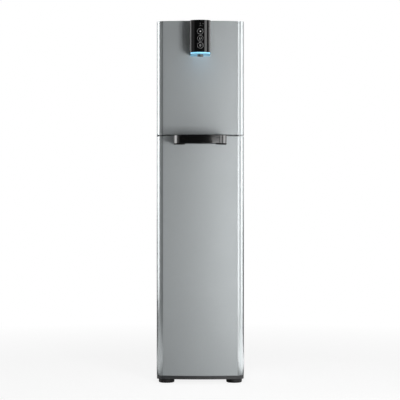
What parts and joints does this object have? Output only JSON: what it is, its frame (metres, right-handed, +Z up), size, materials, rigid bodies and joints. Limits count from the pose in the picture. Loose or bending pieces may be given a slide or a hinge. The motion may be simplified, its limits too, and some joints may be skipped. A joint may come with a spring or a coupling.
{
  "type": "floor-standing water dispenser",
  "caption": "Slim floor-standing tower water dispenser with a bowed two-part front, a dispensing head with touch keys, a drip tray on the service door, and filters behind it.",
  "frame": {"origin": "on the floor, under the middle of the whole outline", "axes": "+Z up, front of the dispenser towards -Y, +X to the right of someone who faces it"},
  "size_m": [0.266, 0.514, 1.1],
  "materials": {
    "silver_paint": "satin silver metallic paint on a moulding",
    "side_paint": "satin metallic",
    "rear_steel": "fine texture powder coat",
    "chassis_steel": "galvanised",
    "lid_plastic": "satin",
    "plinth_plastic": "fine texture",
    "foot_rubber": "matte",
    "head_plastic": "gloss",
    "touch_plastic": "high gloss",
    "diffuser": "translucent, lit blue",
    "nozzle_chrome": "polished",
    "tray_plastic": "gloss",
    "grille_steel": "brushed",
    "bracket_steel": "satin",
    "screw_steel": "bright",
    "liner_plastic": "satin",
    "black_plastic": "satin",
    "filter_plastic": "satin",
    "manifold_plastic": "satin",
    "stainless": "brushed",
    "copper": "drawn tube",
    "foam": "expanded foam, a plain moulded block",
    "compressor_paint": "satin",
    "fin_metal": "mill",
    "board_green": "solder mask",
    "valve_plastic": "satin",
    "fitting_plastic": "satin",
    "switch_plastic": "satin",
    "rocker_green": "satin",
    "rocker_red": "satin"
  },
  "bodies": {
    "cabinet": {"base_plinth": "plinth_plastic", "base_plate": "chassis_steel", "side_panel_right": "side_paint", "side_panel_left": "side_paint", "rear_panel": "rear_steel", "rear_handle": "black_plastic", "case_screws": "screw_steel", "top_cover": "lid_plastic", "posts": "chassis_steel", "mid_shelf": "chassis_steel", "lower_shelf": "chassis_steel", "bay_back_wall": "chassis_steel", "bay_cover": "black_plastic", "front_cover_upper": "silver_paint", "door_catch": "black_plastic", "hinge_lower": "chassis_steel", "hinge_upper": "chassis_steel", "head_housing": "head_plastic", "touch_panel": "touch_plastic", "light_guide": "diffuser", "head_board": "board_green", "head_clamp": "chassis_steel", "nozzle_socket": "valve_plastic", "filter_manifold": "manifold_plastic", "cold_tank": "stainless", "tank_lid": "valve_plastic", "evaporator_coil": "copper", "cold_tank_insulation": "foam", "hot_tank": "stainless", "band_heater": "copper", "hot_tank_jacket": "foam", "compressor": "compressor_paint", "compressor_grommets": "foot_rubber", "condenser": "fin_metal", "fan_shroud": "black_plastic", "board_case": "valve_plastic", "control_board": "board_green", "inlet_valve": "valve_plastic", "dispensing_valves": "valve_plastic", "water_fittings": "fitting_plastic", "power_inlet": "switch_plastic", "switch_bezel": "switch_plastic"},
    "door": {"door_skin": "silver_paint", "door_liner": "liner_plastic", "door_strike": "screw_steel", "tray_bracket": "bracket_steel"},
    "drip_tray": {"drip_tray": "tray_plastic"},
    "drip_grille": {"drip_grille": "grille_steel"},
    "sediment_cartridge": {"sediment_filter": "filter_plastic"},
    "carbon_cartridge": {"carbon_filter": "filter_plastic"},
    "membrane_cartridge": {"membrane_filter": "filter_plastic"},
    "cooling_switch": {"cooling_rocker": "rocker_green"},
    "heating_switch": {"heating_rocker": "rocker_red"},
    "fan": {"fan_rotor": "black_plastic"},
    "nozzle": {"nozzle": "nozzle_chrome"},
    "float": {"level_float": "valve_plastic"},
    "front_left_foot": {"foot_front_left": "foot_rubber"},
    "front_right_foot": {"foot_front_right": "foot_rubber"},
    "rear_left_foot": {"foot_rear_left": "foot_rubber"},
    "rear_right_foot": {"foot_rear_right": "foot_rubber"}
  },
  "joints": [
    {"name": "door_swing", "type": "hinge", "parent": "cabinet", "child": "door", "pos_m": [0.1245, -0.1025, 0.023], "axis": [0, 0, 1], "range_deg": [0, 100]},
    {"name": "tray_slide", "type": "slide", "parent": "door", "child": "drip_tray", "axis": [0, -1, 0], "range_m": [0, 0.08]},
    {"name": "grille_lift", "type": "slide", "parent": "drip_tray", "child": "drip_grille", "axis": [0, 0, 1], "range_m": [0, 0.03]},
    {"name": "fan_spin", "type": "hinge", "parent": "cabinet", "child": "fan", "pos_m": [0, 0.1705, 0.101], "axis": [0, 1, 0], "continuous": true},
    {"name": "nozzle_pull", "type": "slide", "parent": "cabinet", "child": "nozzle", "axis": [0, 0, -1], "range_m": [0, 0.014]},
    {"name": "float_rise", "type": "slide", "parent": "cabinet", "child": "float", "axis": [0, 0, 1], "range_m": [0, 0.055]},
    {"name": "sediment_twist", "type": "hinge", "parent": "cabinet", "child": "sediment_cartridge", "pos_m": [-0.074, -0.03, 0.6557], "axis": [0, 0, 1], "range_deg": [0, 90]},
    {"name": "carbon_twist", "type": "hinge", "parent": "cabinet", "child": "carbon_cartridge", "pos_m": [0, -0.03, 0.6557], "axis": [0, 0, 1], "range_deg": [0, 90]},
    {"name": "membrane_twist", "type": "hinge", "parent": "cabinet", "child": "membrane_cartridge", "pos_m": [0.074, -0.03, 0.6557], "axis": [0, 0, 1], "range_deg": [0, 90]},
    {"name": "cooling_rock", "type": "hinge", "parent": "cabinet", "child": "cooling_switch", "pos_m": [0.075, 0.238, 0.3], "axis": [1, 0, 0], "range_deg": [0, 14]},
    {"name": "heating_rock", "type": "hinge", "parent": "cabinet", "child": "heating_switch", "pos_m": [0.101, 0.238, 0.3], "axis": [1, 0, 0], "range_deg": [0, 14]},
    {"name": "front_left_level", "type": "slide", "parent": "cabinet", "child": "front_left_foot", "axis": [0, 0, -1], "range_m": [0, 0.006]},
    {"name": "front_right_level", "type": "slide", "parent": "cabinet", "child": "front_right_foot", "axis": [0, 0, -1], "range_m": [0, 0.006]},
    {"name": "rear_left_level", "type": "slide", "parent": "cabinet", "child": "rear_left_foot", "axis": [0, 0, -1], "range_m": [0, 0.006]},
    {"name": "rear_right_level", "type": "slide", "parent": "cabinet", "child": "rear_right_foot", "axis": [0, 0, -1], "range_m": [0, 0.006]}
  ]
}
